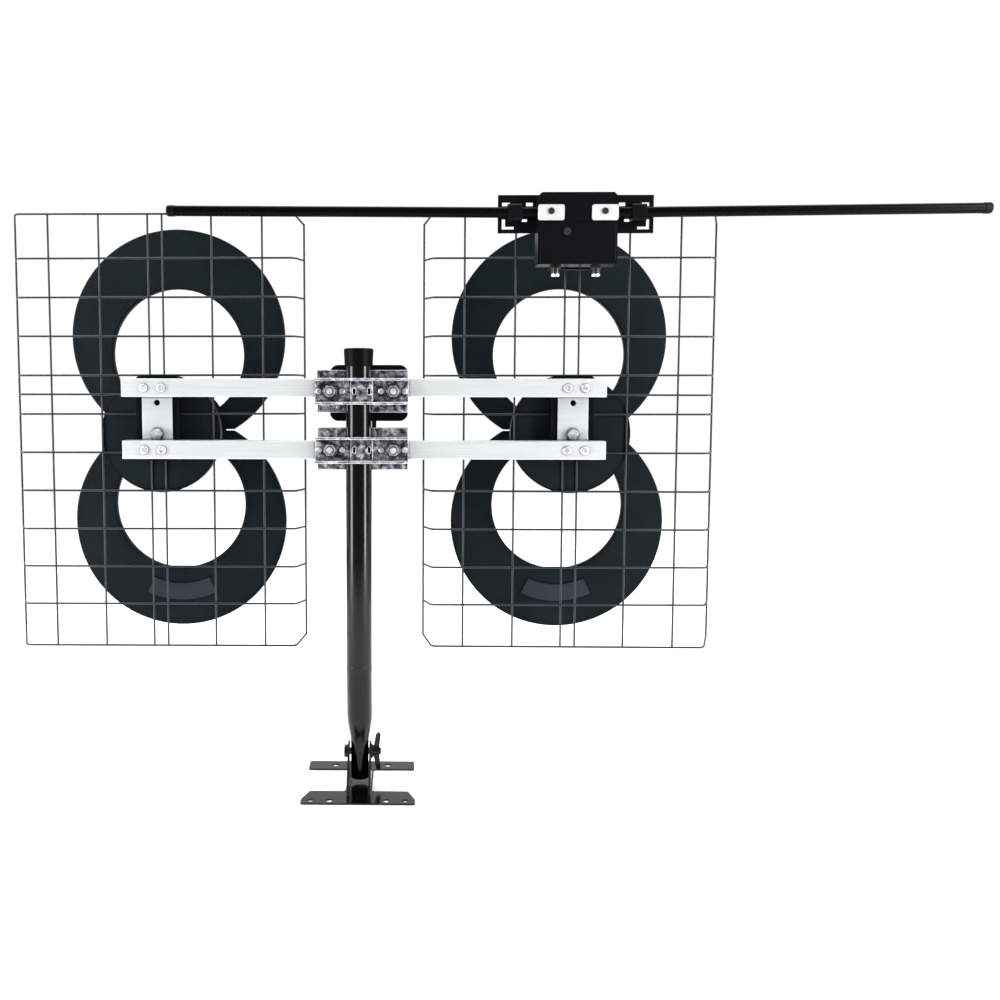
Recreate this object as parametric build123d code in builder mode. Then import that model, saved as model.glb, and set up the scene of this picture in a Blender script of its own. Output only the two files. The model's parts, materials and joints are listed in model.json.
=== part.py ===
from build123d import *

import math
import os

# A two-panel outdoor television antenna on a roof or wall mast, in millimetres.
# X runs to the right as seen from behind, Y runs forward to where the antenna aims, Z is up.
# The origin is the middle of the foot's bolt pattern, on the face that rests on the roof.

# ---- foot and mast ----
SHEET = 2.0                    # foot steel
FLANGE_HALF = 65.5             # half length of the two cross flanges
NEAR_FLANGE = (-61.5, -26.5)   # front to back span of the rear flange
FAR_FLANGE = (40.5, 66.5)      # the same for the front flange
FOOT_HOLE_X = 32.5             # four main bolt holes
FOOT_HOLE_Y = 53.5
FOOT_HOLE_R = 4.25
OUTER_HOLE_X = 54.4            # two extra holes in the rear flange
OUTER_HOLE_R = 3.5
WALL_IN, WALL_OUT = 11.5, 14.0
PIVOT_Z = 40.5
PIVOT_R = 4.0
RUNNING = 0.1                  # radial clearance of a running fit
GAP = 0.3                      # clearance between curved faces of different bodies

MAST_Y = -12.5
MAST_R = 15.0
MAST_WALL = 1.6
MAST_TOP = 511.0
MAST_END_R = 10.5
MAST_BOTTOM = 9.0
BEND = (48.0, 150.0)           # height span of the mast's forward bend
TAPER = (48.0, 86.0)           # height span over which the tube narrows to its end
CAP_R, CAP_TOP, CAP_HEIGHT = 17.2, 518.2, 20.6

# ---- bars and clamps ----
BAR = 21.0
BAR_WALL = 1.6
BAR_Y = MAST_Y - 2.5
BAR_REAR, BAR_FRONT = BAR_Y - BAR / 2, BAR_Y + BAR / 2
BAR_Z = {"upper": 473.1, "lower": 402.1}
BAR_ENDS = {"left": (-270.5, -17.5), "right": (17.5, 281.8)}
CLAMP_Z = {"upper": 469.2, "lower": 402.6}
CLAMP_X = 4.0
CLAMP_HALF = 53.2
STEEL = 2.5
CHANNEL_HEIGHT, CHANNEL_DEPTH = 29.5, 16.0
PLATE_HEIGHT, PLATE_DEPTH = 49.0, 11.0
CLAMP_BOLT_X, CLAMP_BOLT_R = 36.0, 4.0
RIVET_X = (-48.5, -22.5, 22.5, 48.5)
RIVET_R = 2.0

# ---- panels ----
PANEL_X = {"left": -238.0, "right": 247.0}   # middles of the reflectors
HUB_X = {"left": -235.0, "right": 247.6}     # brackets, hubs and loops
GRID_Y = MAST_Y + 21.0
GRID_Z = 419.7
WIRE_R = 1.2
WIRE_LAP = 0.5                 # how far crossing wires sink into each other at a weld
UPRIGHTS = (8.4, 65.8, 124.8)
EDGE_X, EDGE_DEPTH, FOLD_X = 171.5, 24.0, 162.0
ROWS = (-254.0, -203.4, -158.5, -113.3, -68.0, -22.7, 22.7, 45.5, 68.0, 113.3, 158.5, 203.4, 254.0)
CORNER_DROP = 9.0

HUB_Z = 419.5
STRIP_HALF = 17.5
STRIP_Z = (393.2, 481.5)
STRIP_THICK = 2.5
HUB_BOLT_R = 4.0
PIN_HOLE_DZ, PIN_HOLE_R = 36.2, 3.5
GRIP_HALF = 25.0               # plastic plate that grips the wires against the hub
GRIP_Z = (388.0, 486.5)
HUB_R, HUB_RIM, HUB_FRONT_R = 70.2, 14.0, 50.0
HUB_NECK = 46.0                # distance forward at which the hub has narrowed
HUB_FLAT = 67.5
HUB_REAR = GRID_Y + WIRE_R * 3 - WIRE_LAP + 0.2
HUB_WALL = 3.0

# ---- loops ----
LOOP_REAR = MAST_Y + 121.0
LOOP_THICK = 10.0
LOOP_R, LOOP_HOLE_R = 135.5, 83.0
LOOP_DZ, HOLE_DZ = 117.3, 95.1
LOOP_MARGIN = 5.8
LOOP_SKIN = 2.5
ELEMENT = 1.6
FEED_GAP = 8.0
HUB_FRONT = LOOP_REAR
PAD_R = (80.0, 104.0)
PAD_ANGLE = 54.0
PAD_RISE = 0.6

# ---- dipole on the right panel ----
DIPOLE_X = 247.0
ROD_Y, ROD_Z, ROD_R = MAST_Y + 1.0, 670.8, 6.0
ROD_TIPS = {"left": -218.4, "right": 712.5}
ROD_INNER = 14.0
ROD_LIFT = {"left": 0.36, "right": 0.6}   # degrees above level
TIP_LENGTH = 9.0
HOUSING_HALF, HOUSING_Z = 44.6, (612.0, 692.0)
HOUSING_REAR, HOUSING_FRONT = MAST_Y - 9.0, MAST_Y + 18.0
FRAME_END, FRAME_Z, FRAME_THICK = 88.3, (649.3, 691.8), 4.0
CLIP_SCREW = (DIPOLE_X - 12.5, 648.0)   # X and Z of the screw that ties the housing to the wires
CLIP_SCREW_R = 2.4
COVER_Z = (611.8, 657.8)       # height span of the housing's cover
WELL = (616.0, 656.0)          # height span of the hollow that holds the dipole's board
DIPOLE_BOARD_Z = (621.0, 644.0)
CONTACT_DX, CONTACT_Z = 30.2, 669.4
DIPOLE_JACK_DX = 23.0

# ---- signal combiner behind the mast ----
COMBINER_X, COMBINER_Z = 11.0, 467.1
COMBINER_W, COMBINER_H, COMBINER_D = 91.2, 65.4, 24.0
COMBINER_WALL = 2.5
COMBINER_JACK_DX = 28.0
COMBINER_REAR = MAST_Y + 19.0
BOSS_SPOTS = [(CLAMP_X + s * 22, CLAMP_Z["upper"] + 18) for s in (-1, 1)]
BOSS_SCREW_R = 1.5

os.makedirs("parts", exist_ok=True)


def keep(piece, name):
    """Label a finished piece and write it to its own STEP file."""
    piece.part.label = name
    export_step(piece.part, f"parts/{name}.step")


def upright(y):
    """The upright plane at this Y, seen from behind. Extruding by a positive amount goes rearward."""
    return Plane.XZ.offset(-y)


def circles(plane, centres, radius, length):
    """Equal round rods that start on the plane, one at each centre."""
    with BuildPart(mode=Mode.PRIVATE) as rods:
        with BuildSketch(plane):
            with Locations(*centres):
                Circle(radius)
        extrude(amount=length)
    return rods.part


def hexagons(plane, centres, across, length):
    """Equal hexagonal heads that start on the plane, one at each centre."""
    with BuildPart(mode=Mode.PRIVATE) as heads:
        with BuildSketch(plane):
            with Locations(*centres):
                RegularPolygon(across / 2, 6, major_radius=False)
        extrude(amount=length)
    return heads.part


# ======================= foot =======================
with BuildPart() as foot:
    with BuildSketch():
        with BuildLine():
            near_rear, near_front = NEAR_FLANGE
            Polyline(
                (-FLANGE_HALF, near_rear), (FLANGE_HALF, near_rear), (FLANGE_HALF, near_rear + 12),
                (FLANGE_HALF - 8, near_front), (-FLANGE_HALF + 8, near_front),
                (-FLANGE_HALF, near_rear + 12), close=True,
            )
        make_face()
        with Locations((0, sum(FAR_FLANGE) / 2)):
            Rectangle(2 * FLANGE_HALF, FAR_FLANGE[1] - FAR_FLANGE[0])
        with Locations((0, (near_rear + FAR_FLANGE[1]) / 2)):
            Rectangle(2 * WALL_OUT + 3, FAR_FLANGE[1] - near_rear)
    extrude(amount=SHEET)
    fillet(foot.edges().filter_by(Axis.Z), 3)
    for side in (-1, 1):
        wall_start = WALL_IN if side > 0 else -WALL_OUT
        with BuildSketch(Plane.YZ.offset(wall_start)):
            with Locations((0, PIVOT_Z)):
                Circle(12)
            with Locations((4, SHEET / 2)):
                Rectangle(88, SHEET)
            make_hull()
        extrude(amount=WALL_OUT - WALL_IN)
    with BuildSketch():
        with GridLocations(2 * FOOT_HOLE_X, 2 * FOOT_HOLE_Y, 2, 2):
            Circle(FOOT_HOLE_R)
        with Locations((-OUTER_HOLE_X, -FOOT_HOLE_Y), (OUTER_HOLE_X, -FOOT_HOLE_Y)):
            Circle(OUTER_HOLE_R)
    extrude(amount=SHEET, mode=Mode.SUBTRACT)
    with BuildSketch(Plane.YZ.offset(-WALL_OUT)):
        with Locations((0, PIVOT_Z)):
            Circle(PIVOT_R + RUNNING)
    extrude(amount=2 * WALL_OUT, mode=Mode.SUBTRACT)
keep(foot, "foot_bracket")

BOLT_TIP = 25.5
WASHER = 1.5
with BuildPart() as pivot_bolt:
    add(circles(Plane.YZ.offset(-WALL_OUT - 1), [(0, PIVOT_Z)], PIVOT_R, BOLT_TIP + WALL_OUT + 1))
    add(hexagons(Plane.YZ.offset(-WALL_OUT - 4.5), [(0, PIVOT_Z)], 13, 4.5))
    chamfer(pivot_bolt.edges().group_by(Axis.X)[-1], 0.8)
keep(pivot_bolt, "pivot_bolt")

with BuildPart() as pivot_washer:
    with BuildSketch(Plane.YZ.offset(WALL_OUT)):
        with Locations((0, PIVOT_Z)):
            Circle(8.5)
            Circle(PIVOT_R + RUNNING, mode=Mode.SUBTRACT)
    extrude(amount=WASHER)
keep(pivot_washer, "pivot_washer")

NUT_START = WALL_OUT + WASHER + RUNNING
WING_REACH = 23.3
with BuildPart() as wing_nut:
    with BuildSketch(Plane.YZ.offset(NUT_START)):
        with Locations((0, PIVOT_Z)):
            Circle(7)
    extrude(amount=8, taper=8)
    for side in (-1, 1):
        with BuildSketch(Plane.XZ.offset(-1.3)):
            with BuildLine():
                Polyline(
                    (NUT_START + 0.5, PIVOT_Z + side * 4), (NUT_START + 7.5, PIVOT_Z + side * 4),
                    (NUT_START + 9.5, PIVOT_Z + side * (WING_REACH - 3)),
                    (NUT_START + 7, PIVOT_Z + side * WING_REACH),
                    (NUT_START + 3.5, PIVOT_Z + side * (WING_REACH - 3)), close=True,
                )
            make_face()
        extrude(amount=2.6)
    with BuildSketch(Plane.YZ.offset(NUT_START)):
        with Locations((0, PIVOT_Z)):
            Circle(PIVOT_R + RUNNING)
    extrude(amount=9, mode=Mode.SUBTRACT)
keep(wing_nut, "pivot_wing_nut")


# ======================= mast =======================
def eased(t):
    """A smooth step from 0 to 1."""
    return (1 - math.cos(math.pi * t)) / 2


def mast_solid(shrink):
    """The mast's outline as one solid, or its bore when shrink is the tube's wall."""
    low, high = BEND
    steps = 8
    with BuildPart(mode=Mode.PRIVATE) as body:
        for step in range(steps + 1):
            t = step / steps
            z = low + t * (high - low)
            slope = MAST_Y * math.pi / 2 * math.sin(math.pi * t) / (high - low)
            middle = Plane(origin=(0, MAST_Y * eased(t), z), x_dir=(1, 0, 0), z_dir=(0, slope, 1))
            widening = eased(min(1, (z - TAPER[0]) / (TAPER[1] - TAPER[0])))
            with BuildSketch(middle):
                Circle(MAST_END_R + (MAST_R - MAST_END_R) * widening - shrink)
        loft()
        with BuildSketch(Plane.XY.offset(high)):
            with Locations((0, MAST_Y)):
                Circle(MAST_R - shrink)
        extrude(amount=MAST_TOP - high)
        with BuildSketch(Plane.XY.offset(MAST_BOTTOM)):
            Circle(MAST_END_R - shrink)
        extrude(amount=low - MAST_BOTTOM)
    return body.part


with BuildPart() as mast:
    add(mast_solid(0))
    add(mast_solid(MAST_WALL), mode=Mode.SUBTRACT)
    with BuildSketch(Plane.YZ.offset(-MAST_R)):
        with Locations((0, PIVOT_Z)):
            Circle(PIVOT_R + RUNNING)
    extrude(amount=2 * MAST_R, mode=Mode.SUBTRACT)
keep(mast, "mast_tube")

with BuildPart() as cap:
    with BuildSketch(Plane.XY.offset(CAP_TOP)):
        with Locations((0, MAST_Y)):
            Circle(CAP_R)
    extrude(amount=-CAP_HEIGHT, taper=3)
    fillet(cap.edges().group_by(Axis.Z)[-1], 2.5)
    with BuildSketch(Plane.XY.offset(CAP_TOP - CAP_HEIGHT)):
        with Locations((0, MAST_Y)):
            Circle(MAST_R + 0.05)
    extrude(amount=MAST_TOP - CAP_TOP + CAP_HEIGHT, mode=Mode.SUBTRACT)
keep(cap, "mast_cap")

# ======================= clamps and bars =======================
bolt_spots = [
    (CLAMP_X + side * CLAMP_BOLT_X, z) for z in CLAMP_Z.values() for side in (-1, 1)
]
CHANNEL_FRONT = BAR_REAR
CHANNEL_BACK = CHANNEL_FRONT - STEEL
SADDLE_BACK = MAST_Y - MAST_R - GAP - STEEL

for level, z in CLAMP_Z.items():
    with BuildPart() as channel:
        with BuildSketch(upright(CHANNEL_FRONT)):
            with Locations((CLAMP_X, z)):
                Rectangle(2 * CLAMP_HALF, CHANNEL_HEIGHT)
        extrude(amount=CHANNEL_DEPTH)
        with BuildSketch(upright(CHANNEL_BACK)):
            with Locations((CLAMP_X, z)):
                Rectangle(2 * CLAMP_HALF, CHANNEL_HEIGHT - 2 * STEEL)
        extrude(amount=CHANNEL_DEPTH, mode=Mode.SUBTRACT)
        with BuildSketch(upright(CHANNEL_BACK)):
            with Locations((CLAMP_X, z)):
                Rectangle(25, CHANNEL_HEIGHT - 2 * STEEL)
        extrude(amount=CHANNEL_BACK - SADDLE_BACK)
        with BuildSketch(Plane.XY.offset(z - CHANNEL_HEIGHT)):
            with Locations((0, MAST_Y)):
                Circle(MAST_R + GAP)
        extrude(amount=2 * CHANNEL_HEIGHT, mode=Mode.SUBTRACT)
        with BuildSketch(upright(CHANNEL_FRONT)):
            with Locations((CLAMP_X - 8.5, z), (CLAMP_X + 8.5, z)):
                SlotOverall(7, 3.2, rotation=90)
            with Locations(*[(CLAMP_X + side * CLAMP_BOLT_X, z) for side in (-1, 1)]):
                Circle(CLAMP_BOLT_R + RUNNING)
            with Locations(*[(CLAMP_X + dx, z) for dx in RIVET_X]):
                Circle(RIVET_R + 0.05)
        extrude(amount=CHANNEL_DEPTH, mode=Mode.SUBTRACT)
    keep(channel, f"{level}_clamp_channel")

    with BuildPart() as plate:
        with BuildSketch(Plane.XY.offset(z - PLATE_HEIGHT / 2)):
            with Locations((0, MAST_Y)):
                Circle(MAST_R + GAP + STEEL)
            with Locations((0, BAR_FRONT - 50)):
                Rectangle(100, 100, mode=Mode.SUBTRACT)
            with Locations((CLAMP_X, BAR_FRONT + STEEL / 2)):
                Rectangle(2 * CLAMP_HALF - 1, STEEL)
        extrude(amount=PLATE_HEIGHT)
        for edge in (-1, 1):
            with BuildSketch(Plane.XY.offset(z + edge * (PLATE_HEIGHT - STEEL) / 2 - STEEL / 2)):
                with Locations((CLAMP_X, BAR_FRONT + PLATE_DEPTH / 2)):
                    Rectangle(2 * CLAMP_HALF - 1, PLATE_DEPTH)
            extrude(amount=STEEL)
        with BuildSketch(Plane.XY.offset(z - PLATE_HEIGHT)):
            with Locations((0, MAST_Y)):
                Circle(MAST_R + GAP)
        extrude(amount=2 * PLATE_HEIGHT, mode=Mode.SUBTRACT)
        with BuildSketch(upright(BAR_FRONT)):
            with Locations(*[(CLAMP_X + side * CLAMP_BOLT_X, z) for side in (-1, 1)]):
                Circle(CLAMP_BOLT_R + RUNNING)
            if level == "upper":
                with Locations(*BOSS_SPOTS):
                    Circle(BOSS_SCREW_R + RUNNING)
        extrude(amount=-STEEL, mode=Mode.SUBTRACT)
    keep(plate, f"{level}_clamp_plate")

NUT_HEIGHT = 6.5
CLAMP_WASHER = 1.6
PLATE_FRONT = BAR_FRONT + STEEL
with BuildPart() as clamp_bolts:
    add(circles(upright(PLATE_FRONT + 1), bolt_spots, CLAMP_BOLT_R,
                PLATE_FRONT + 1 - CHANNEL_BACK + CLAMP_WASHER + NUT_HEIGHT + 2.5))
    add(circles(upright(PLATE_FRONT + 4), bolt_spots, 8.5, 4))
    fillet(clamp_bolts.edges().group_by(Axis.Y)[-1], 2.5)
keep(clamp_bolts, "clamp_bolts")

with BuildPart() as clamp_washers:
    add(circles(upright(CHANNEL_BACK), bolt_spots, 8.5, CLAMP_WASHER))
    add(circles(upright(CHANNEL_BACK), bolt_spots, CLAMP_BOLT_R + RUNNING, CLAMP_WASHER),
        mode=Mode.SUBTRACT)
keep(clamp_washers, "clamp_washers")

with BuildPart() as clamp_nuts:
    add(hexagons(upright(CHANNEL_BACK - CLAMP_WASHER), bolt_spots, 13, NUT_HEIGHT))
    add(circles(upright(CHANNEL_BACK - CLAMP_WASHER), bolt_spots, CLAMP_BOLT_R + RUNNING,
                NUT_HEIGHT), mode=Mode.SUBTRACT)
keep(clamp_nuts, "clamp_nuts")

rivet_spots = [(CLAMP_X + dx, z) for z in CLAMP_Z.values() for dx in RIVET_X]
with BuildPart() as clamp_rivets:
    add(circles(upright(BAR_REAR + 3), rivet_spots, RIVET_R, 3 + STEEL + 1))
    add(circles(upright(CHANNEL_BACK), rivet_spots, 3.8, 2))
    fillet(clamp_rivets.edges().group_by(Axis.Y)[0], 1.2)
keep(clamp_rivets, "clamp_rivets")

STRIP_RIVET_X = 10.0
for level, z in BAR_Z.items():
    for side, (start, end) in BAR_ENDS.items():
        holes = [(CLAMP_X + s * CLAMP_BOLT_X, CLAMP_Z[level]) for s in (-1, 1)]
        pins = [(CLAMP_X + dx, CLAMP_Z[level]) for dx in RIVET_X]
        strip_pins = [(HUB_X[side] + s * STRIP_RIVET_X, z) for s in (-1, 1)]
        with BuildPart() as bar:
            with BuildSketch(Plane.YZ.offset(start)):
                with Locations((BAR_Y, z)):
                    RectangleRounded(BAR, BAR, 1.5)
                    Rectangle(BAR - 2 * BAR_WALL, BAR - 2 * BAR_WALL, mode=Mode.SUBTRACT)
            extrude(amount=end - start)
            with BuildSketch(upright(BAR_FRONT)):
                with Locations(*[p for p in holes if start < p[0] < end]):
                    Circle(CLAMP_BOLT_R + RUNNING)
                with Locations(*strip_pins):
                    Circle(RIVET_R + 0.05)
            extrude(amount=BAR, mode=Mode.SUBTRACT)
            with BuildSketch(upright(BAR_Y)):
                with Locations(*[p for p in pins if start < p[0] < end]):
                    Circle(RIVET_R + 0.05)
            extrude(amount=BAR, mode=Mode.SUBTRACT)
        keep(bar, f"{level}_{side}_bar")

# ======================= panel brackets =======================
STRIP_FRONT = BAR_FRONT + STRIP_THICK
bracket_rivet_spots = [
    (HUB_X[side] + s * STRIP_RIVET_X, z)
    for side in HUB_X for z in BAR_Z.values() for s in (-1, 1)
]
with BuildPart() as bracket_rivets:
    add(circles(upright(STRIP_FRONT + 0.5), bracket_rivet_spots, RIVET_R,
                STRIP_FRONT + 1 - BAR_REAR))
    add(circles(upright(STRIP_FRONT + 1.5), bracket_rivet_spots, 3.2, 1.5))
    add(circles(upright(BAR_REAR), bracket_rivet_spots, 4.9, 2.2))
    fillet(bracket_rivets.edges().group_by(Axis.Y)[0], 1.4)
keep(bracket_rivets, "bracket_rivets")

for side, x in HUB_X.items():
    with BuildPart() as strip:
        with BuildSketch(upright(STRIP_FRONT)):
            with Locations((x, sum(STRIP_Z) / 2)):
                RectangleRounded(2 * STRIP_HALF, STRIP_Z[1] - STRIP_Z[0], 1.5)
            with Locations((x, HUB_Z)):
                Circle(HUB_BOLT_R + RUNNING, mode=Mode.SUBTRACT)
            with Locations((x, HUB_Z + PIN_HOLE_DZ)):
                Circle(PIN_HOLE_R, mode=Mode.SUBTRACT)
            with Locations(*[(x + s * STRIP_RIVET_X, z) for z in BAR_Z.values() for s in (-1, 1)]):
                Circle(RIVET_R + 0.05, mode=Mode.SUBTRACT)
        extrude(amount=STRIP_THICK)
    keep(strip, f"{side}_panel_bracket")

GRIP_REAR = STRIP_FRONT
GRIP_FRONT = GRID_Y - WIRE_R - 0.1
for side, x in HUB_X.items():
    with BuildPart() as grip:
        with BuildSketch(upright(GRIP_FRONT)):
            with Locations((x, sum(GRIP_Z) / 2)):
                RectangleRounded(2 * GRIP_HALF, GRIP_Z[1] - GRIP_Z[0], 4)
            with Locations((x, HUB_Z)):
                Circle(HUB_BOLT_R + RUNNING, mode=Mode.SUBTRACT)
            with Locations(*[(x + s * STRIP_RIVET_X, z) for z in BAR_Z.values() for s in (-1, 1)]):
                Circle(4, mode=Mode.SUBTRACT)
        extrude(amount=GRIP_FRONT - GRIP_REAR)
    keep(grip, f"{side}_wire_grip")

HUB_BOLT_END = HUB_REAR + 26.0
hub_spots = [(x, HUB_Z) for x in HUB_X.values()]
with BuildPart() as hub_bolts:
    add(circles(upright(HUB_BOLT_END), hub_spots, HUB_BOLT_R, HUB_BOLT_END - BAR_FRONT + 1))
    add(hexagons(upright(BAR_FRONT), hub_spots, 13, 5.3))
keep(hub_bolts, "hub_bolts")


# ======================= reflectors =======================
def wire_mesh():
    """A welded wire mesh about X = 0, whose two upright edges fold forward."""
    with BuildPart(mode=Mode.PRIVATE) as mesh:
        for offset_z in ROWS:
            end_z = GRID_Z + offset_z
            if abs(offset_z) == max(ROWS):
                end_z -= math.copysign(CORNER_DROP, offset_z)
            z = GRID_Z + offset_z
            with BuildLine() as run:
                FilletPolyline(
                    (-EDGE_X, GRID_Y + EDGE_DEPTH, end_z), (-FOLD_X, GRID_Y, z),
                    (FOLD_X, GRID_Y, z), (EDGE_X, GRID_Y + EDGE_DEPTH, end_z), radius=5,
                )
            with BuildSketch(Plane(origin=run.line @ 0, z_dir=run.line % 0)):
                Circle(WIRE_R)
            sweep(path=run.line)
        layer = GRID_Y + 2 * WIRE_R - WIRE_LAP
        height = ROWS[-1] - ROWS[0]
        with BuildSketch(Plane.XY.offset(GRID_Z - height / 2 - 1)):
            with Locations(*[(s * dx, layer) for dx in UPRIGHTS for s in (-1, 1)]):
                Circle(WIRE_R)
        extrude(amount=height + 2)
        with BuildSketch(Plane.XY.offset(GRID_Z - height / 2 + CORNER_DROP - 1)):
            with Locations(*[(s * EDGE_X, GRID_Y + EDGE_DEPTH) for s in (-1, 1)]):
                Circle(WIRE_R)
        extrude(amount=height - 2 * CORNER_DROP + 2)
    return mesh.part


reflector_shape = wire_mesh()
for side, x in PANEL_X.items():
    with BuildPart() as reflector:
        add(Pos(x, 0, 0) * reflector_shape)
    keep(reflector, f"{side}_reflector")


# ======================= hubs =======================
def hub_profile(grow):
    """Half outline of the hub about its own axis, radius against distance forward, shrunk by grow."""
    depth = HUB_FRONT - HUB_REAR
    return [
        (0, 0), (HUB_R - grow, 0), (HUB_R - grow, HUB_RIM - grow), (HUB_FRONT_R - grow, HUB_NECK),
        (HUB_FRONT_R - grow, depth), (0, depth),
    ]


def hub_solid(grow, start):
    """The hub turned about its axis, its rear face at start, with the rim's flat top."""
    with BuildPart(mode=Mode.PRIVATE) as body:
        with BuildSketch(Plane.XY):
            with BuildLine():
                Polyline(*hub_profile(grow), close=True)
            make_face()
        revolve(axis=Axis.Y)
        with BuildSketch(Plane.XY.offset(HUB_FLAT - grow)):
            Rectangle(4 * HUB_R, 8 * HUB_R)
        extrude(amount=HUB_R, mode=Mode.SUBTRACT)
    return Pos(0, start, 0) * body.part


JACK_Y = HUB_REAR + 62.0
JACK_HOLE_R = 5.0
board_holes = [(24, 0), (0, 24), (-24, 0), (0, -24)]
for side, x in HUB_X.items():
    with BuildPart() as hub:
        add(Pos(x, 0, HUB_Z) * hub_solid(0, HUB_REAR))
        add(Pos(x, 0, HUB_Z) * hub_solid(HUB_WALL, HUB_REAR + HUB_WALL), mode=Mode.SUBTRACT)
        add(circles(upright(HUB_REAR + 28), [(x, HUB_Z)], 10, 27))
        add(circles(upright(HUB_REAR + 30), [(x, HUB_Z)], HUB_BOLT_R + RUNNING, 40),
            mode=Mode.SUBTRACT)
        add(circles(Plane.XY.offset(HUB_Z - HUB_R), [(x, JACK_Y)], JACK_HOLE_R, 30),
            mode=Mode.SUBTRACT)
    keep(hub, f"{side}_hub_housing")

    with BuildPart() as board:
        with BuildSketch(upright(HUB_FRONT - 12)):
            with Locations((x, HUB_Z)):
                RectangleRounded(58, 58, 5)
                with Locations(*board_holes):
                    Circle(1.7, mode=Mode.SUBTRACT)
        extrude(amount=1.6)
        with BuildSketch(upright(HUB_FRONT - 13.6)):
            with Locations((x, HUB_Z)):
                Circle(9)
                Circle(4, mode=Mode.SUBTRACT)
        extrude(amount=6)
    keep(board, f"{side}_balun_board")

jack_spots = [(x, JACK_Y) for x in HUB_X.values()]
jack_top = HUB_Z - HUB_FRONT_R + HUB_WALL + 6
with BuildPart() as hub_jacks:
    add(circles(Plane.XY.offset(jack_top - 24), jack_spots, JACK_HOLE_R - 0.25, 24))
    add(hexagons(Plane.XY.offset(HUB_Z - HUB_FRONT_R - 3.2), jack_spots, 13, 3))
    add(circles(Plane.XY.offset(jack_top - 24), jack_spots, 1.5, 10), mode=Mode.SUBTRACT)
keep(hub_jacks, "hub_coax_jacks")


# ======================= loops =======================
def half_ring(x, sign, grow, edge_room):
    """A tapered ring, wide far from the hub, with a gap at the feed, as a private sketch in X and Z."""
    with BuildSketch(upright(0), mode=Mode.PRIVATE) as ring:
        with Locations((x, HUB_Z + sign * LOOP_DZ)):
            Circle(LOOP_R - grow)
        with Locations((x, HUB_Z + sign * HOLE_DZ)):
            Circle(LOOP_HOLE_R + grow, mode=Mode.SUBTRACT)
        with Locations((x, HUB_Z - sign * (100 - 1 - edge_room))):
            Rectangle(300, 200, mode=Mode.SUBTRACT)
        with Locations((x, HUB_Z)):
            Rectangle(FEED_GAP + 2 * edge_room, 60, mode=Mode.SUBTRACT)
    return ring.sketch


LOOP_FRONT = LOOP_REAR + LOOP_THICK
for side, x in HUB_X.items():
    for level, sign in (("upper", 1), ("lower", -1)):
        with BuildPart() as shell:
            with BuildSketch(upright(LOOP_FRONT)):
                add(half_ring(x, sign, 0, 0).moved(Location((0, LOOP_FRONT, 0))))
            extrude(amount=LOOP_THICK)
            rims = shell.edges().filter_by(GeomType.CIRCLE)
            fillet(rims, 2.4)
            with BuildSketch(upright(LOOP_FRONT)):
                add(half_ring(x, sign, LOOP_MARGIN, 4).moved(Location((0, LOOP_FRONT, 0))))
            extrude(amount=LOOP_THICK - LOOP_SKIN, mode=Mode.SUBTRACT)
            if sign < 0:
                with BuildSketch(upright(LOOP_REAR + 0.5)):
                    with Locations((x, HUB_Z - LOOP_DZ)):
                        Circle(PAD_R[1])
                        Circle(PAD_R[0], mode=Mode.SUBTRACT)
                        with BuildLine(mode=Mode.PRIVATE) as wedge:
                            half = math.radians(PAD_ANGLE / 2)
                            Polyline((0, 0), (200 * math.sin(half), -200 * math.cos(half)),
                                     (-200 * math.sin(half), -200 * math.cos(half)), close=True)
                        add(make_face(wedge.line, mode=Mode.PRIVATE), mode=Mode.INTERSECT)
                extrude(amount=PAD_RISE + 0.5)
        keep(shell, f"{level}_{side}_loop_shell")

        with BuildPart() as element:
            with BuildSketch(upright(LOOP_FRONT - 1)):
                add(half_ring(x, sign, LOOP_MARGIN + 0.2, 4.2).moved(Location((0, LOOP_FRONT - 1, 0))))
            extrude(amount=ELEMENT)
        keep(element, f"{level}_{side}_loop_element")

HUB_COVER_R = 58.0
for side, x in HUB_X.items():
    with BuildPart() as cover:
        with BuildSketch(upright(LOOP_FRONT)):
            with Locations((x, HUB_Z)):
                Circle(HUB_COVER_R)
        extrude(amount=-9, taper=25)
        fillet(cover.edges().group_by(Axis.Y)[-1], 3)
    keep(cover, f"{side}_hub_cover")

feed_spots = [(x + s * 24, HUB_Z + t * 7.2) for x in HUB_X.values() for s in (-1, 1) for t in (-1, 1)]
with BuildPart() as feed_screws:
    add(circles(upright(LOOP_FRONT - 1 - ELEMENT), feed_spots, 2, 2))
    fillet(feed_screws.edges().group_by(Axis.Y)[0], 0.6)
keep(feed_screws, "feed_screws")

# ======================= dipole =======================
for side, sign in (("left", -1), ("right", 1)):
    start = DIPOLE_X + sign * ROD_INNER
    length = abs(ROD_TIPS[side] - start) - TIP_LENGTH
    lift = math.radians(ROD_LIFT[side])
    aim = Plane(origin=(start, ROD_Y, ROD_Z), x_dir=(0, 1, 0),
                z_dir=(sign * math.cos(lift), 0, math.sin(lift)))
    with BuildPart() as rod:
        with BuildSketch(aim):
            Circle(ROD_R)
        extrude(amount=length)
        with BuildSketch(aim.offset(length - 20)):
            Circle(ROD_R - 1.2)
        extrude(amount=20, mode=Mode.SUBTRACT)
    keep(rod, f"{side}_dipole_rod")

    with BuildPart() as tip:
        with BuildSketch(aim.offset(length - 18)):
            Circle(ROD_R - 1.25)
        extrude(amount=18)
        with BuildSketch(aim.offset(length)):
            Circle(ROD_R + 0.4)
        extrude(amount=TIP_LENGTH)
        fillet(tip.edges().group_by(Axis.X)[-1 if sign > 0 else 0], 2.5)
    keep(tip, f"{side}_dipole_tip")

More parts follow.
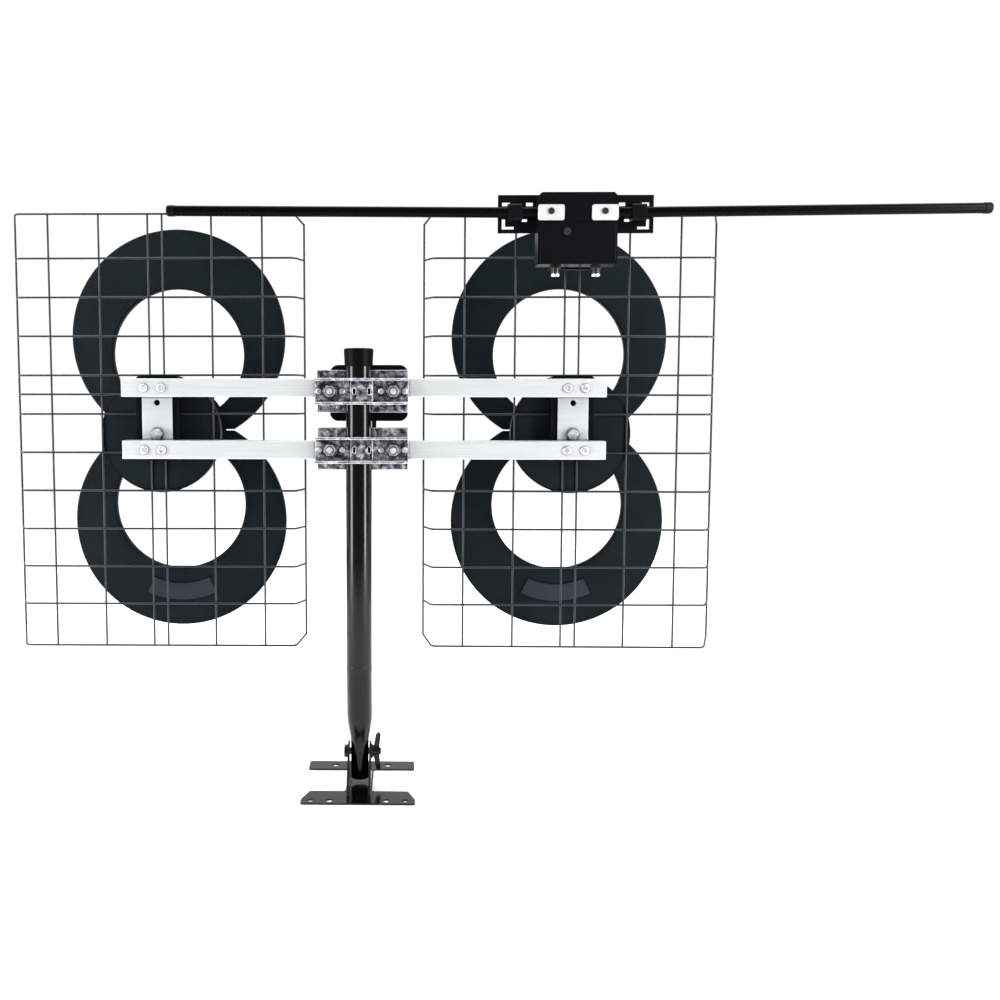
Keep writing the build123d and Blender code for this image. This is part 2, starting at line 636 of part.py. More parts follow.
ROD_BORE = ROD_R + 0.05
WINDOW_Z = 681.5               # small windows above the rods
SLOT_Z = 663.5                 # long slots below the rods
with BuildPart() as housing:
    with BuildSketch(upright(HOUSING_FRONT)):
        with Locations((DIPOLE_X, sum(HOUSING_Z) / 2)):
            Rectangle(2 * HOUSING_HALF, HOUSING_Z[1] - HOUSING_Z[0])
    extrude(amount=HOUSING_FRONT - HOUSING_REAR)
    upper_corners = housing.edges().filter_by(Axis.Y).group_by(Axis.Z)[-1]
    chamfer(upper_corners, 4)
    with BuildSketch(upright(ROD_Y + ROD_R + FRAME_THICK)):
        with Locations((DIPOLE_X, sum(FRAME_Z) / 2)):
            Rectangle(2 * FRAME_END, FRAME_Z[1] - FRAME_Z[0])
        for s in (-1, 1):
            with Locations((DIPOLE_X + s * (FRAME_END - 9), WINDOW_Z)):
                Rectangle(9, 4.5, mode=Mode.SUBTRACT)
            with Locations((DIPOLE_X + s * (HOUSING_HALF + 8), WINDOW_Z)):
                Rectangle(8, 4.5, mode=Mode.SUBTRACT)
            with Locations((DIPOLE_X + s * 66, SLOT_Z)):
                Rectangle(22, 3.5, mode=Mode.SUBTRACT)
            with Locations((DIPOLE_X + s * 82, SLOT_Z - 4)):
                Rectangle(4, 11, mode=Mode.SUBTRACT)
            with Locations((DIPOLE_X + s * 77, SLOT_Z - 8.5)):
                Rectangle(14, 3.5, mode=Mode.SUBTRACT)
    extrude(amount=FRAME_THICK)
    for s in (-1, 1):
        with BuildSketch(Plane.YZ.offset(DIPOLE_X + s * 70 - 8)):
            with Locations((ROD_Y + 3, ROD_Z)):
                RectangleRounded(19, 19, 4)
        extrude(amount=16)
    for s in (-1, 1):
        lift = math.radians(ROD_LIFT["right" if s > 0 else "left"])
        aim = Plane(origin=(DIPOLE_X + s * ROD_INNER, ROD_Y, ROD_Z), x_dir=(0, 1, 0),
                    z_dir=(s * math.cos(lift), 0, math.sin(lift)))
        with BuildSketch(aim):
            Circle(ROD_BORE)
        extrude(amount=FRAME_END, mode=Mode.SUBTRACT)
    with BuildSketch(upright(HOUSING_REAR + 18)):
        with Locations((DIPOLE_X, sum(WELL) / 2)):
            RectangleRounded(78, WELL[1] - WELL[0], 3)
    extrude(amount=18, mode=Mode.SUBTRACT)
    with BuildSketch(upright(HOUSING_FRONT)):
        with Locations(CLIP_SCREW):
            Circle(CLIP_SCREW_R + RUNNING)
    extrude(amount=20, mode=Mode.SUBTRACT)
    with BuildSketch(Plane.XY.offset(HOUSING_Z[0])):
        with Locations(*[(DIPOLE_X + s * DIPOLE_JACK_DX, ROD_Y + 2) for s in (-1, 1)]):
            Circle(JACK_HOLE_R)
    extrude(amount=12, mode=Mode.SUBTRACT)
    with BuildSketch(upright(ROD_Y)):
        with Locations(*[(DIPOLE_X + s * CONTACT_DX, ROD_Z) for s in (-1, 1)]):
            Circle(2.1)
    extrude(amount=20, mode=Mode.SUBTRACT)
keep(housing, "dipole_housing")

with BuildPart() as lid:
    with BuildSketch(upright(HOUSING_REAR)):
        with Locations((DIPOLE_X, sum(COVER_Z) / 2)):
            RectangleRounded(2 * HOUSING_HALF - 4, COVER_Z[1] - COVER_Z[0], 4)
        with Locations(CLIP_SCREW):
            Circle(CLIP_SCREW_R + RUNNING, mode=Mode.SUBTRACT)
    extrude(amount=2.5)
    fillet(lid.edges().group_by(Axis.Y)[0], 0.8)
keep(lid, "dipole_cover")

with BuildPart() as dipole_board:
    with BuildSketch(upright(HOUSING_REAR + 9)):
        with Locations((DIPOLE_X, sum(DIPOLE_BOARD_Z) / 2)):
            Rectangle(74, DIPOLE_BOARD_Z[1] - DIPOLE_BOARD_Z[0])
    extrude(amount=1.6)
    with BuildSketch(upright(HOUSING_REAR + 7.4)):
        with Locations((DIPOLE_X + 16, sum(DIPOLE_BOARD_Z) / 2)):
            Circle(7)
            Circle(3, mode=Mode.SUBTRACT)
    extrude(amount=5)
keep(dipole_board, "dipole_balun_board")

dipole_jack_spots = [(DIPOLE_X + s * DIPOLE_JACK_DX, ROD_Y + 2) for s in (-1, 1)]
with BuildPart() as dipole_jacks:
    add(circles(Plane.XY.offset(HOUSING_Z[0] - 12), dipole_jack_spots, JACK_HOLE_R - 0.25, 20))
    add(hexagons(Plane.XY.offset(HOUSING_Z[0] - 3), dipole_jack_spots, 11, 3))
    add(circles(Plane.XY.offset(HOUSING_Z[0] - 12), dipole_jack_spots, 1.5, 8), mode=Mode.SUBTRACT)
keep(dipole_jacks, "dipole_coax_jacks")

plate_spots = [(DIPOLE_X + s * CONTACT_DX, CONTACT_Z) for s in (-1, 1)]
screw_spots = [(DIPOLE_X + s * CONTACT_DX, ROD_Z) for s in (-1, 1)]
with BuildPart() as contact_plates:
    with BuildSketch(upright(HOUSING_REAR)):
        with Locations(*plate_spots):
            RectangleRounded(29.5, 17.4, 2.5)
        with Locations(*screw_spots):
            Circle(2.1, mode=Mode.SUBTRACT)
    extrude(amount=1.5)
keep(contact_plates, "dipole_contact_plates")

with BuildPart() as contact_screws:
    add(circles(upright(ROD_Y - ROD_R), screw_spots, 2, ROD_Y - ROD_R - HOUSING_REAR + 2))
    add(circles(upright(HOUSING_REAR - 1.5), screw_spots, 3.6, 1.8))
    fillet(contact_screws.edges().group_by(Axis.Y)[0], 0.7)
keep(contact_screws, "dipole_contact_screws")

CLIP_REAR = HUB_REAR
with BuildPart() as clip:
    with BuildSketch(upright(CLIP_REAR + 4)):
        with Locations((DIPOLE_X, 643)):
            RectangleRounded(60, 66, 4)
        with Locations(CLIP_SCREW):
            Circle(CLIP_SCREW_R + RUNNING, mode=Mode.SUBTRACT)
    extrude(amount=4)
keep(clip, "dipole_wire_clip")

with BuildPart() as clip_screw:
    add(circles(upright(CLIP_REAR + 5), [CLIP_SCREW], CLIP_SCREW_R,
                CLIP_REAR + 5 - HOUSING_REAR + 3))
    add(circles(upright(HOUSING_REAR - 2.5), [CLIP_SCREW], 4.2, 2.2))
    add(hexagons(upright(CLIP_REAR + 7.5), [CLIP_SCREW], 8, 3.5))
keep(clip_screw, "dipole_clip_screw")

# ======================= signal combiner =======================
COMBINER_FRONT = COMBINER_REAR + COMBINER_D
with BuildPart() as combiner:
    with BuildSketch(upright(COMBINER_FRONT)):
        with Locations((COMBINER_X, COMBINER_Z)):
            RectangleRounded(COMBINER_W, COMBINER_H, 10)
    extrude(amount=COMBINER_D)
    with BuildSketch(upright(COMBINER_FRONT)):
        with Locations((COMBINER_X, COMBINER_Z)):
            RectangleRounded(COMBINER_W - 2 * COMBINER_WALL, COMBINER_H - 2 * COMBINER_WALL, 8)
    extrude(amount=COMBINER_D - COMBINER_WALL, mode=Mode.SUBTRACT)
    with BuildSketch(upright(COMBINER_REAR + 5)):
        with Locations((COMBINER_X + 6, COMBINER_Z - COMBINER_H / 2 - 3.5)):
            RectangleRounded(5, 10, 1.5)
    extrude(amount=4)
    with BuildSketch(upright(COMBINER_REAR)):
        with Locations(*BOSS_SPOTS):
            Circle(4)
    extrude(amount=COMBINER_REAR - PLATE_FRONT)
    with BuildSketch(upright(COMBINER_FRONT)):
        with Locations(*BOSS_SPOTS):
            Circle(BOSS_SCREW_R + RUNNING)
    extrude(amount=COMBINER_D + 20, mode=Mode.SUBTRACT)
keep(combiner, "combiner_housing")

with BuildPart() as combiner_lid:
    with BuildSketch(upright(COMBINER_FRONT + COMBINER_WALL)):
        with Locations((COMBINER_X, COMBINER_Z)):
            RectangleRounded(COMBINER_W, COMBINER_H, 10)
            with Locations((-COMBINER_JACK_DX, 0), (0, 0), (COMBINER_JACK_DX, 0)):
                Circle(JACK_HOLE_R, mode=Mode.SUBTRACT)
    extrude(amount=COMBINER_WALL)
keep(combiner_lid, "combiner_lid")

with BuildPart() as combiner_board:
    with BuildSketch(upright(COMBINER_REAR + 9)):
        with Locations((COMBINER_X, COMBINER_Z)):
            Rectangle(82, 55)
        with Locations(*BOSS_SPOTS):
            Circle(3.5, mode=Mode.SUBTRACT)
    extrude(amount=1.6)
keep(combiner_board, "combiner_board")

combiner_jack_spots = [(COMBINER_X + s * COMBINER_JACK_DX, COMBINER_Z) for s in (-1, 0, 1)]
with BuildPart() as combiner_jacks:
    add(circles(upright(COMBINER_FRONT + 14), combiner_jack_spots, JACK_HOLE_R - 0.25, 28))
    add(hexagons(upright(COMBINER_FRONT + 5.5), combiner_jack_spots, 11, 3))
    add(circles(upright(COMBINER_FRONT + 14), combiner_jack_spots, 1.5, 9), mode=Mode.SUBTRACT)
keep(combiner_jacks, "combiner_coax_jacks")

with BuildPart() as combiner_screws:
    add(circles(upright(COMBINER_REAR + 6), BOSS_SPOTS, BOSS_SCREW_R, COMBINER_REAR + 6 - BAR_FRONT))
    add(circles(upright(BAR_FRONT), BOSS_SPOTS, 3, 1.8))
keep(combiner_screws, "combiner_screws")
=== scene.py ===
import json
import math
import random

import bmesh
import bpy
from mathutils import Matrix, Vector


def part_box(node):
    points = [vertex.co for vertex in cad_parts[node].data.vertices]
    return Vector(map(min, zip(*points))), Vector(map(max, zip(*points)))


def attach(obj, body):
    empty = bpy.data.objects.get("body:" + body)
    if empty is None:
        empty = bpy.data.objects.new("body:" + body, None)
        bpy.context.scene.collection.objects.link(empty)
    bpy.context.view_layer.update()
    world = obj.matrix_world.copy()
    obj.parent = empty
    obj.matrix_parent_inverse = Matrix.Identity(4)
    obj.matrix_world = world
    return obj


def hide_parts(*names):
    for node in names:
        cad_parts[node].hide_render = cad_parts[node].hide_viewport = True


# A two-panel outdoor television antenna on its mast, seen from behind, in metres.

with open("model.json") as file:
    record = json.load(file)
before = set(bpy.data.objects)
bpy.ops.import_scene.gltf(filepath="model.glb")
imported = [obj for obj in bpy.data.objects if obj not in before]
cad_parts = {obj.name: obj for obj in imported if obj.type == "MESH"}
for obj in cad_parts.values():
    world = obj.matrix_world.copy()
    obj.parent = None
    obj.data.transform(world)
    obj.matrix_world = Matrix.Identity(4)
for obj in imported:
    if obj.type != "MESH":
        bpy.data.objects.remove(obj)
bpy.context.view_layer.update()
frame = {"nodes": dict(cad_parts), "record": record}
nodes = frame["nodes"]
random.seed(7)


def added(name, data):
    """A new object of the scene that holds the given data."""
    made = bpy.data.objects.new(name, data)
    bpy.context.scene.collection.objects.link(made)
    return made


# ---------------------------------------------------------------- materials
EDGE_SAMPLES = 6
WIDE_SCALE = 18
# Width of the painted edge highlights and edge shade on zinc.
ZINC_EDGE = 0.0016
ZINC_WARP = (0.010, 0.010, 0.010)
ZINC_DENT, ZINC_DENT_STRENGTH = 0.0010, 0.4
# Painted shade: the colour and reach of the shade in zinc corners, then the colours of the shade
# along edges and near other pieces.
ZINC_CORNER_SHADE, ZINC_CORNER_SHADE_REACH = (0.004, 0.005, 0.007), 0.012
EDGE_SHADE_COLOUR = (0.001, 0.001, 0.001)
CONTACT_SHADE_COLOUR = (0.05, 0.055, 0.06)
BOOT_END = (0.10, 0.13)


def material(name):
    """A new node material, with its tree and its main shader."""
    made = bpy.data.materials.new(name)
    made.use_nodes = True
    tree = made.node_tree
    return made, tree, tree.nodes["Principled BSDF"]


def node(tree, kind, **values):
    """A new node with some inputs set by name."""
    made = tree.nodes.new(kind)
    for key, value in values.items():
        made.inputs[key.replace("_", " ")].default_value = value
    return made


def noise(tree, scale, detail=4.0, rough=0.5, stretch=None):
    """A noise texture in the object's own space, stretched along an axis when asked."""
    place = tree.nodes.new("ShaderNodeTexCoord")
    out = place.outputs["Object"]
    if stretch:
        mapping = tree.nodes.new("ShaderNodeMapping")
        mapping.inputs["Scale"].default_value = stretch
        tree.links.new(out, mapping.inputs["Vector"])
        out = mapping.outputs["Vector"]
    made = node(tree, "ShaderNodeTexNoise", Scale=scale, Detail=detail, Roughness=rough)
    tree.links.new(out, made.inputs["Vector"])
    return made


def spread(tree, source, low, high, from_low=0.3, from_high=0.7):
    """Map a value's range to another range."""
    made = node(tree, "ShaderNodeMapRange", From_Min=from_low, From_Max=from_high,
                To_Min=low, To_Max=high)
    tree.links.new(source, made.inputs["Value"])
    return made.outputs["Result"]


def blend(tree, factor, first, second):
    """Mix two colours by a factor. Each is three numbers or a node's output."""
    made = tree.nodes.new("ShaderNodeMix")
    made.data_type = "RGBA"
    for socket, colour in (("A", first), ("B", second)):
        if isinstance(colour, tuple):
            made.inputs[socket].default_value = (*colour, 1)
        else:
            tree.links.new(colour, made.inputs[socket])
    tree.links.new(factor, made.inputs["Factor"])
    return made.outputs["Result"]


def combine(tree, operation, first, second):
    """A math node on two outputs."""
    made = tree.nodes.new("ShaderNodeMath")
    made.operation = operation
    tree.links.new(first, made.inputs[0])
    tree.links.new(second, made.inputs[1])
    return made


def rounded_normal(tree, radius):
    """The surface direction with its edges rounded by a radius."""
    bevel = node(tree, "ShaderNodeBevel", Radius=radius)
    bevel.samples = EDGE_SAMPLES
    return bevel.outputs["Normal"]


def surface(tree, shader, source, depth, strength, rounding):
    """Bump from a texture, over edges rounded by a small radius."""
    bump = node(tree, "ShaderNodeBump", Strength=strength, Distance=depth)
    tree.links.new(source, bump.inputs["Height"])
    if rounding:
        tree.links.new(rounded_normal(tree, rounding), bump.inputs["Normal"])
    tree.links.new(bump.outputs["Normal"], shader.inputs["Normal"])


def edge_mask(tree, radius, high=1.0):
    """A value that goes from 0 on flat faces to high along edges, the mask of painted edge shade and
    edge highlights.
    """
    facing = tree.nodes.new("ShaderNodeNewGeometry")
    dot = tree.nodes.new("ShaderNodeVectorMath")
    dot.operation = "DOT_PRODUCT"
    tree.links.new(rounded_normal(tree, radius), dot.inputs[0])
    tree.links.new(facing.outputs["Normal"], dot.inputs[1])
    return spread(tree, dot.outputs["Value"], 0, high, 0.997, 0.93)


def openness(tree, reach, low, high):
    """A value that goes from 0 in corners to 1 in the open, the mask of painted shade in corners and
    near other pieces.
    """
    shade = node(tree, "ShaderNodeAmbientOcclusion", Distance=reach)
    shade.samples = EDGE_SAMPLES
    return spread(tree, shade.outputs["AO"], 0, 1, low, high)


def plain(name, light, dark, rough, grain, depth, rounding, metal=0, specular=0.5,
          stretch=None, edge_shade=0.0, contact=0.0):
    """A material whose colour, roughness and surface vary a little.

    Its two last arguments paint shade: along its edges that far in, and where it comes that near to
    other pieces.
    """
    made, tree, shader = material(name)
    shader.inputs["Metallic"].default_value = metal
    shader.inputs["Specular IOR Level"].default_value = specular
    wide = noise(tree, WIDE_SCALE, 3, 0.5, stretch)
    fine = noise(tree, grain, 5, 0.6, stretch)
    colour = blend(tree, spread(tree, wide.outputs["Fac"], 0, 1), light, dark)
    # Painted shade along the edges, darkest on the rounded edges.
    if edge_shade:
        colour = blend(tree, edge_mask(tree, edge_shade), colour, EDGE_SHADE_COLOUR)
    # Painted shade near other pieces, from an ambient occlusion mask.
    if contact:
        colour = blend(tree, openness(tree, contact, 0.5, 0.85), CONTACT_SHADE_COLOUR, colour)
    tree.links.new(colour, shader.inputs["Base Color"])
    tree.links.new(spread(tree, fine.outputs["Fac"], *rough), shader.inputs["Roughness"])
    surface(tree, shader, fine.outputs["Fac"], depth, 1.0, rounding)
    return made


def zinc(name, scale, dark, light, rounding, edge, calm=0.0, corner=0.25):
    """Bright zinc plating: light and dark crystal over small dents, with painted shade in its
    corners.

    Edge paints highlights along its edges when positive and shade when negative, calm evens its tone,
    and corner is where the painted shade in its corners starts.
    """
    made, tree, shader = material(name)
    warp = noise(tree, scale * 0.6, 3, 0.6)
    place = tree.nodes.new("ShaderNodeTexCoord")
    shift = tree.nodes.new("ShaderNodeVectorMath")
    shift.operation = "MULTIPLY_ADD"
    shift.inputs[1].default_value = ZINC_WARP
    tree.links.new(warp.outputs["Color"], shift.inputs[0])
    tree.links.new(place.outputs["Object"], shift.inputs[2])
    cells = node(tree, "ShaderNodeTexVoronoi", Scale=scale, Randomness=1.0)
    tree.links.new(shift.outputs["Vector"], cells.inputs["Vector"])
    split = tree.nodes.new("ShaderNodeSeparateColor")
    tree.links.new(cells.outputs["Color"], split.inputs["Color"])
    dents = noise(tree, scale * 0.8, 4, 0.55).outputs["Fac"]
    tone = combine(tree, "MULTIPLY",
                   spread(tree, split.outputs["Red"], max(0.25, calm), 1.0, 0.2, 0.9),
                   spread(tree, dents, calm, 1.35, 0.38, 0.62))
    # Painted edge light: bright lines that stand for highlights when edge is positive, dark outlines
    # that stand for shade when negative.
    painted_edge_light = edge_mask(tree, ZINC_EDGE, edge)
    tone_and_edge_light = combine(tree, "ADD", tone.outputs["Value"], painted_edge_light)
    tone_and_edge_light.use_clamp = True
    colour = blend(tree, tone_and_edge_light.outputs["Value"], dark, light)
    # Painted shade in the corners, from an ambient occlusion mask.
    colour = blend(tree, openness(tree, ZINC_CORNER_SHADE_REACH, corner, corner + 0.5), ZINC_CORNER_SHADE, colour)
    tree.links.new(colour, shader.inputs["Base Color"])
    tree.links.new(spread(tree, painted_edge_light, 0.7, 0.05, 0, 1), shader.inputs["Metallic"])
    tree.links.new(spread(tree, dents, 0.16, 0.30), shader.inputs["Roughness"])
    surface(tree, shader, dents, ZINC_DENT, ZINC_DENT_STRENGTH, rounding)
    return made


def booted_jack():
    """A jack whose upper part is a black boot and whose lower end is bright."""
    made, tree, shader = material("booted_jack")
    place = tree.nodes.new("ShaderNodeTexCoord")
    axes = tree.nodes.new("ShaderNodeSeparateXYZ")
    tree.links.new(place.outputs["Generated"], axes.inputs["Vector"])
    boot = spread(tree, axes.outputs["Z"], 0, 1, *BOOT_END)
    colour = blend(tree, boot, (0.85, 0.85, 0.84), (0.004, 0.004, 0.004))
    tree.links.new(colour, shader.inputs["Base Color"])
    tree.links.new(spread(tree, boot, 0.7, 0.0, 0, 1), shader.inputs["Metallic"])
    tree.links.new(spread(tree, boot, 0.28, 0.4, 0, 1), shader.inputs["Roughness"])
    return made


FINISH = {
    "black_paint": plain(
        "gloss_black_coat", (0.0012, 0.0012, 0.0014), (0.0008, 0.0008, 0.0010),
        rough=(0.12, 0.18), grain=160, depth=0.00002, rounding=0.0008, specular=0.30),
    "cap_plastic": plain(
        "cap_black_plastic", (0.0020, 0.0024, 0.0027), (0.0010, 0.0012, 0.0014),
        rough=(0.36, 0.46), grain=500, depth=0.00004, rounding=0.001, specular=0.04),
    # The bars get painted shade where they come near other pieces.
    "satin_aluminium": plain(
        "satin_aluminium", (0.62, 0.65, 0.655), (0.56, 0.59, 0.595),
        rough=(0.30, 0.40), grain=90, depth=0.00002, rounding=0.0007, metal=0.5,
        stretch=(1, 40, 40), contact=0.004),
    "black_wire": plain(
        "black_coated_wire", (0.010, 0.0135, 0.0165), (0.006, 0.008, 0.010),
        rough=(0.34, 0.42), grain=60, depth=0.000005, rounding=0.0, specular=0.35),
    # The loop shells get painted shade along their edges.
    "charcoal_plastic": plain(
        "charcoal_plastic", (0.0055, 0.0090, 0.0110), (0.0035, 0.0060, 0.0074),
        rough=(0.44, 0.54), grain=900, depth=0.00005, rounding=0.0012, specular=0.06,
        edge_shade=0.0055),
    "black_plastic": plain(
        "black_moulded_plastic", (0.0028, 0.0036, 0.0044), (0.0015, 0.0020, 0.0026),
        rough=(0.32, 0.44), grain=700, depth=0.00004, rounding=0.0008, specular=0.06),
    "dark_element": plain(
        "dark_painted_element", (0.016, 0.018, 0.020), (0.010, 0.011, 0.013),
        rough=(0.34, 0.44), grain=300, depth=0.00003, rounding=0.0004, metal=0.2),
    "black_rod": plain(
        "black_coated_tube", (0.0012, 0.0012, 0.0012), (0.0008, 0.0008, 0.0008),
        rough=(0.24, 0.30), grain=60, depth=0.000002, rounding=0.0, specular=0.05),
    "contact_plate": plain(
        "plated_contact", (0.64, 0.64, 0.645), (0.56, 0.56, 0.565),
        rough=(0.30, 0.40), grain=200, depth=0.00002, rounding=0.0005, metal=0.35),
    "circuit_board": plain(
        "circuit_board", (0.03, 0.16, 0.07), (0.02, 0.11, 0.05),
        rough=(0.25, 0.4), grain=300, depth=0.00005, rounding=0.0002),
    "nickel_jack": plain(
        "nickel_jack", (0.80, 0.79, 0.76), (0.62, 0.60, 0.57),
        rough=(0.14, 0.24), grain=400, depth=0.00003, rounding=0.0004, metal=1),
    "black_fastener": plain(
        "black_oxide_screw", (0.060, 0.060, 0.064), (0.020, 0.020, 0.022),
        rough=(0.22, 0.34), grain=300, depth=0.00004, rounding=0.0004, metal=0.6),
    # The plate gets painted highlights along its edges and painted shade in its corners; the
    # fasteners get painted dark outlines and painted shade in their corners.
    "zinc_plate": zinc(
        "bright_zinc_plate", 200, (0.03, 0.036, 0.050), (0.80, 0.83, 0.87),
        rounding=0.0008, edge=0.9),
    "zinc_fastener": zinc(
        "bright_zinc_fastener", 300, (0.05, 0.055, 0.06), (0.92, 0.93, 0.95),
        rounding=0.0014, edge=-1.0, calm=0.8, corner=0.45),
}
SLOT_OF = {part["node"]: part["material_slot"] for part in frame["record"]["subparts"]}


def paint(piece, slot):
    """Give a piece the finish of a slot."""
    piece.data.materials.clear()
    piece.data.materials.append(FINISH[slot])


for name, piece in nodes.items():
    paint(piece, SLOT_OF[name])
nodes["dipole_coax_jacks"].data.materials[0] = booted_jack()


# ---------------------------------------------------------------- reflectors
WIRE = 0.0012
LAP = 0.0005
ROWS = (-254.0, -203.4, -158.5, -113.3, -68.0, -22.7, 22.7, 45.5, 68.0, 113.3, 158.5, 203.4, 254.0)
UPRIGHTS = (-124.8, -65.8, -8.4, 8.4, 65.8, 124.8)
CORNER_DROP = 0.009
FOLD_WIDTH, FOLD_RADIUS, FOLD_STEPS = 0.0095, 0.005, 5
SAG = 0.0004
WIRE_SIDES = 4


def rounded_run(points):
    """The same run of points with its inner corners rounded."""
    run = [points[0]]
    for before, corner, after in zip(points, points[1:], points[2:]):
        start = corner + (before - corner).normalized() * FOLD_RADIUS
        end = corner + (after - corner).normalized() * FOLD_RADIUS
        for i in range(FOLD_STEPS + 1):
            t = i / FOLD_STEPS
            run.append(start * (1 - t) ** 2 + corner * (2 * t * (1 - t)) + end * t ** 2)
    return run + [points[-1]]


def add_wire(curve, points):
    """One wire as a poly spline."""
    spline = curve.splines.new("POLY")
    spline.points.add(len(points) - 1)
    for slot, point in zip(spline.points, points):
        slot.co = (*point, 1)


for side in ("left", "right"):
    low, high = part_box(f"{side}_reflector")
    middle, rear, front = (low.x + high.x) / 2, low.y + WIRE, high.y - WIRE
    reach = (high.x - low.x) / 2 - WIRE
    layer = rear + 2 * WIRE - LAP
    fold = reach - FOLD_WIDTH
    centre_z = (low.z + high.z) / 2
    curve = bpy.data.curves.new(f"{side}_wires", "CURVE")
    curve.dimensions = "3D"
    curve.bevel_depth = WIRE
    curve.bevel_resolution = WIRE_SIDES
    curve.use_fill_caps = True
    for row in ROWS:
        z = centre_z + row / 1000
        end = z - math.copysign(CORNER_DROP, row) if abs(row) == max(ROWS) else z
        sag = random.uniform(-SAG, SAG)
        path = [Vector((middle - reach, front, end)), Vector((middle - fold, rear, z + sag)),
                Vector((middle + fold, rear, z - sag)), Vector((middle + reach, front, end))]
        add_wire(curve, rounded_run(path))
    for x in UPRIGHTS:
        add_wire(curve, [Vector((middle + x / 1000, layer, z)) for z in (low.z, high.z)])
    for s in (-1, 1):
        add_wire(curve, [Vector((middle + s * reach, front, z))
                         for z in (low.z + CORNER_DROP, high.z - CORNER_DROP)])
    holder = added(f"{side}_reflector_wires", curve)
    bpy.context.view_layer.update()
    shaped = holder.evaluated_get(bpy.context.evaluated_depsgraph_get())
    mesh = bpy.data.meshes.new_from_object(shaped)
    bpy.data.objects.remove(holder)
    wires = added(f"{side}_reflector_wires", mesh)
    for face in mesh.polygons:
        face.use_smooth = True
    paint(wires, "black_wire")
    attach(wires, "head")
    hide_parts(f"{side}_reflector")


# ---------------------------------------------------------------- label films
FILM = plain("blank_label_film", (0.014, 0.022, 0.030), (0.009, 0.015, 0.021),
             rough=(0.30, 0.38), grain=500, depth=0.00003, rounding=0.0, specular=0.2)
PAD_RADII, PAD_HALF = (0.0815, 0.1025), math.radians(25.5)
FILM_RISE, FILM_SINK = 0.0002, 0.0004
FILM_STEPS = 24

for side in ("left", "right"):
    low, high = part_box(f"lower_{side}_loop_shell")
    middle_x, middle_z = (low.x + high.x) / 2, low.z + (high.x - low.x) / 2
    angles = [PAD_HALF * (i / (FILM_STEPS / 2) - 1) for i in range(FILM_STEPS + 1)]
    shape = bmesh.new()
    near_in, near_out, far_in, far_out = [
        [shape.verts.new((middle_x + reach * math.sin(angle), depth,
                          middle_z - reach * math.cos(angle))) for angle in angles]
        for depth in (low.y - FILM_RISE, low.y + FILM_SINK) for reach in PAD_RADII]
    for i in range(FILM_STEPS):
        for one, two in ((near_in, near_out), (near_out, far_out),
                         (far_out, far_in), (far_in, near_in)):
            shape.faces.new((one[i], one[i + 1], two[i + 1], two[i]))
    for i in (0, FILM_STEPS):
        shape.faces.new((near_in[i], near_out[i], far_out[i], far_in[i]))
    bmesh.ops.recalc_face_normals(shape, faces=shape.faces)
    film_mesh = bpy.data.meshes.new(f"{side}_label_film")
    shape.to_mesh(film_mesh)
    shape.free()
    film = added(f"{side}_label_film", film_mesh)
    film_mesh.materials.append(FILM)
    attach(film, "head")

# ---------------------------------------------------------------- camera
CAMERA = Vector((0.0539505, -1.1443441, 0.4713180))
PITCH, YAW, ROLL = 0.0779, 0.0131, 0.0009
FOCAL = 0.98228
CENTRE_X, CENTRE_Y = 0.392716, 0.466113
SENSOR = 36

camera_data = bpy.data.cameras.new("photo_camera")
camera = added("photo_camera", camera_data)
camera_data.sensor_width = SENSOR
camera_data.lens = FOCAL * SENSOR
camera_data.shift_x = 0.5 - CENTRE_X
camera_data.shift_y = CENTRE_Y - 0.5
camera_data.clip_start = 0.01
camera_data.clip_end = 50
camera.matrix_world = (
    Matrix.Translation(CAMERA) @ Matrix.Rotation(YAW, 4, "Z")
    @ Matrix.Rotation(math.pi / 2 - PITCH, 4, "X") @ Matrix.Rotation(ROLL, 4, "Z"))
bpy.context.scene.camera = camera

# ---------------------------------------------------------------- floor
FLOOR_RADIUS, FLOOR_SEGMENTS, FLOOR_CENTRE = 2.3, 96, (0.1, 1.1, 0)

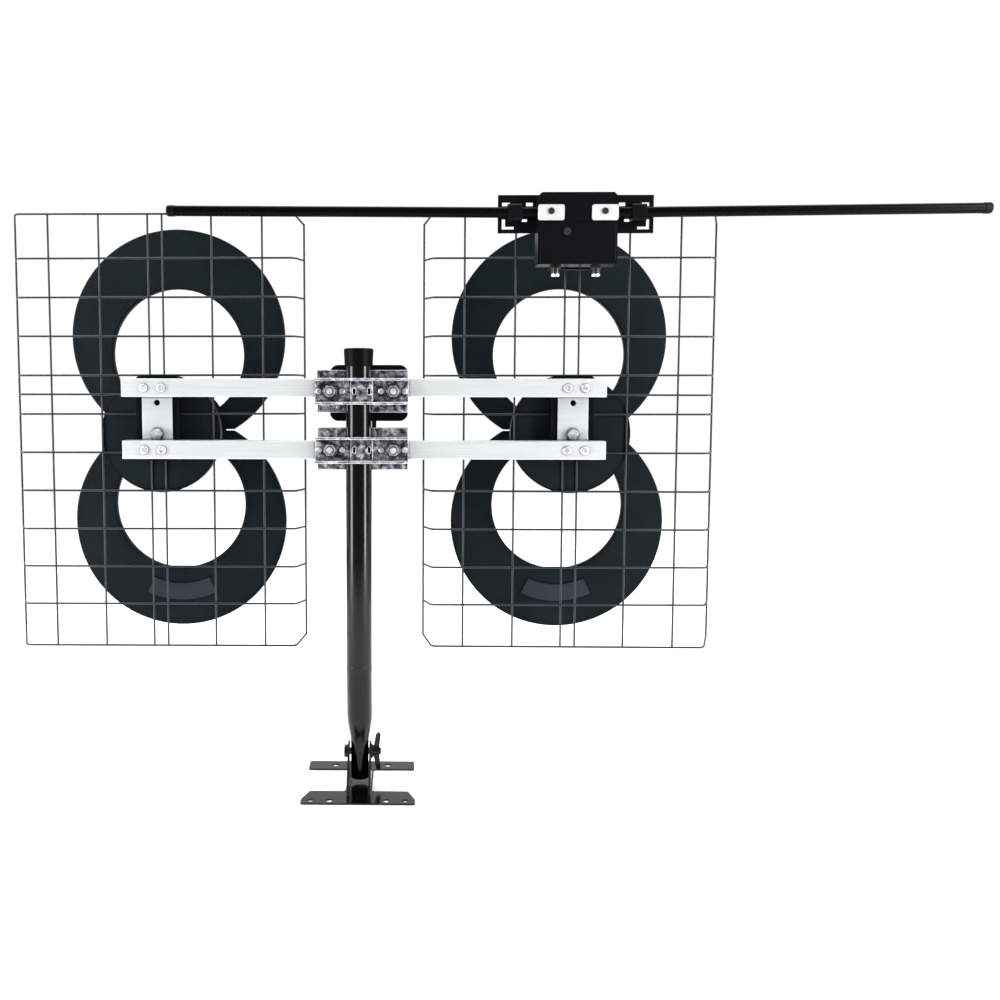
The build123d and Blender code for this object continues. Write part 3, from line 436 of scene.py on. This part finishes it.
floor_mesh = bpy.data.meshes.new("floor")
shape = bmesh.new()
bmesh.ops.create_circle(shape, cap_ends=True, segments=FLOOR_SEGMENTS, radius=FLOOR_RADIUS)
shape.to_mesh(floor_mesh)
shape.free()
floor = added("floor", floor_mesh)
floor.location = FLOOR_CENTRE
pale, tree, shader = material("pale_floor")
shader.inputs["Roughness"].default_value = 0.9
dust = spread(tree, noise(tree, 3, 2).outputs["Fac"], 0, 1)
tree.links.new(blend(tree, dust, (0.90, 0.90, 0.90), (0.88, 0.88, 0.88)), shader.inputs["Base Color"])
floor_mesh.materials.append(pale)

# ---------------------------------------------------------------- light
# The surroundings are white behind the object, dimmer above it and grey on the camera's side.
world = bpy.data.worlds.new("studio")
bpy.context.scene.world = world
world.use_nodes = True
sky = world.node_tree
heading = sky.nodes.new("ShaderNodeTexCoord")
axes = sky.nodes.new("ShaderNodeSeparateXYZ")
sky.links.new(heading.outputs["Generated"], axes.inputs["Vector"])
backdrop = spread(sky, axes.outputs["Y"], 0.24, 1.05, -0.1, 0.3)
dimming = spread(sky, axes.outputs["Z"], 1.0, 0.2, 0.40, 0.50)
ceiling = spread(sky, axes.outputs["Z"], 0.0, 0.5, 0.45, 0.85)
around = combine(sky, "MULTIPLY", backdrop, dimming)
total = combine(sky, "ADD", around.outputs["Value"], ceiling)
sky.links.new(total.outputs["Value"], sky.nodes["Background"].inputs["Strength"])
sky.nodes["Background"].inputs["Color"].default_value = (1, 1, 1, 1)
bpy.context.scene.view_settings.view_transform = "Standard"


def lamp(name, place, target, size, power):
    """A soft rectangular studio light."""
    data = bpy.data.lights.new(name, "AREA")
    data.shape = "RECTANGLE"
    data.size, data.size_y = size
    data.energy = power
    made = added(name, data)
    made.location = place
    made.rotation_mode = "QUATERNION"
    made.rotation_quaternion = (Vector(target) - Vector(place)).to_track_quat("-Z", "Y")


lamp("strip_left", (-1.35, -0.62, 0.85), (0, -0.01, 0.85), (0.5, 1.9), 46)
lamp("strip_right", (1.45, -0.85, 0.85), (0, -0.01, 0.85), (0.5, 1.9), 54)
lamp("front_fill", (-0.4, -3.0, 1.7), (0, 0, 0.4), (2.6, 1.4), 4)
lamp("floor_light", (0, 1.3, 2.4), (0, 1.3, 0), (4.0, 2.2), 120)
